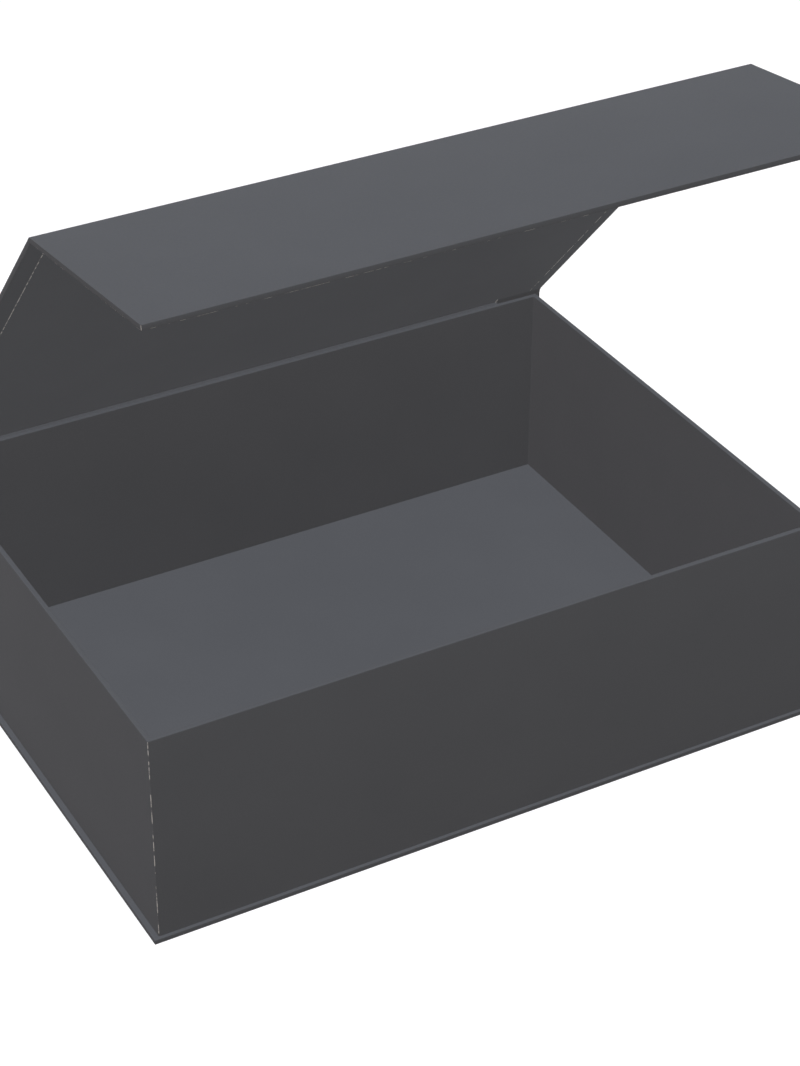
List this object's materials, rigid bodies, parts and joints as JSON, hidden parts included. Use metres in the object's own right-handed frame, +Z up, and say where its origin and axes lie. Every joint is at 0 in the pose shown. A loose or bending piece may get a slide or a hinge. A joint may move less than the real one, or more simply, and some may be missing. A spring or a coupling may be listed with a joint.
{
  "type": "magnetic gift box",
  "caption": "Rigid paper covered gift box with a book style lid and a front flap that closes on hidden magnets, shown half open.",
  "frame": {"origin": "middle of the tray's footprint, on the underside of the base", "axes": "+X along the width, to the right seen from the front; +Y from the front to the spine at the back; +Z up"},
  "size_m": [0.3092, 0.2488, 0.2839],
  "materials": {
    "wrap_paper": "matte charcoal wrapping paper, fine fibre",
    "liner_paper": "matte charcoal lining paper",
    "greyboard": "bare grey bookbinding board",
    "kraft_tape": "gummed kraft tape",
    "nickel_discs": "nickel plated, satin"
  },
  "bodies": {
    "tray": {"tray_board": "greyboard", "corner_tape_front_left": "kraft_tape", "corner_tape_front_right": "kraft_tape", "corner_tape_back_left": "kraft_tape", "corner_tape_back_right": "kraft_tape", "tray_wrap": "wrap_paper", "floor_liner": "liner_paper", "keeper_disc_left": "nickel_discs", "keeper_disc_right": "nickel_discs", "base_board": "greyboard", "spine_board": "greyboard", "case_wrap": "wrap_paper", "lid_hinge_paper": "wrap_paper", "lid_hinge_liner": "liner_paper"},
    "lid": {"lid_board": "greyboard", "lid_wrap": "wrap_paper", "lid_liner": "liner_paper", "flap_hinge_paper": "wrap_paper", "flap_hinge_liner": "liner_paper"},
    "flap": {"flap_board": "greyboard", "flap_wrap": "wrap_paper", "flap_liner": "liner_paper", "flap_magnet_left": "nickel_discs", "flap_magnet_right": "nickel_discs"}
  },
  "joints": [
    {"name": "lid_fold", "type": "hinge", "parent": "tray", "child": "lid", "pos_m": [0, 0.11484, 0.09983], "axis": [-1, 0, 0], "range_deg": [-48.5, 131.5], "deforming": ["lid_hinge_paper", "lid_hinge_liner"]},
    {"name": "flap_fold", "type": "hinge", "parent": "lid", "child": "flap", "pos_m": [0, -0.03756, 0.27209], "axis": [-1, 0, 0], "range_deg": [-48.5, 131.5], "deforming": ["flap_hinge_paper", "flap_hinge_liner"]}
  ]
}
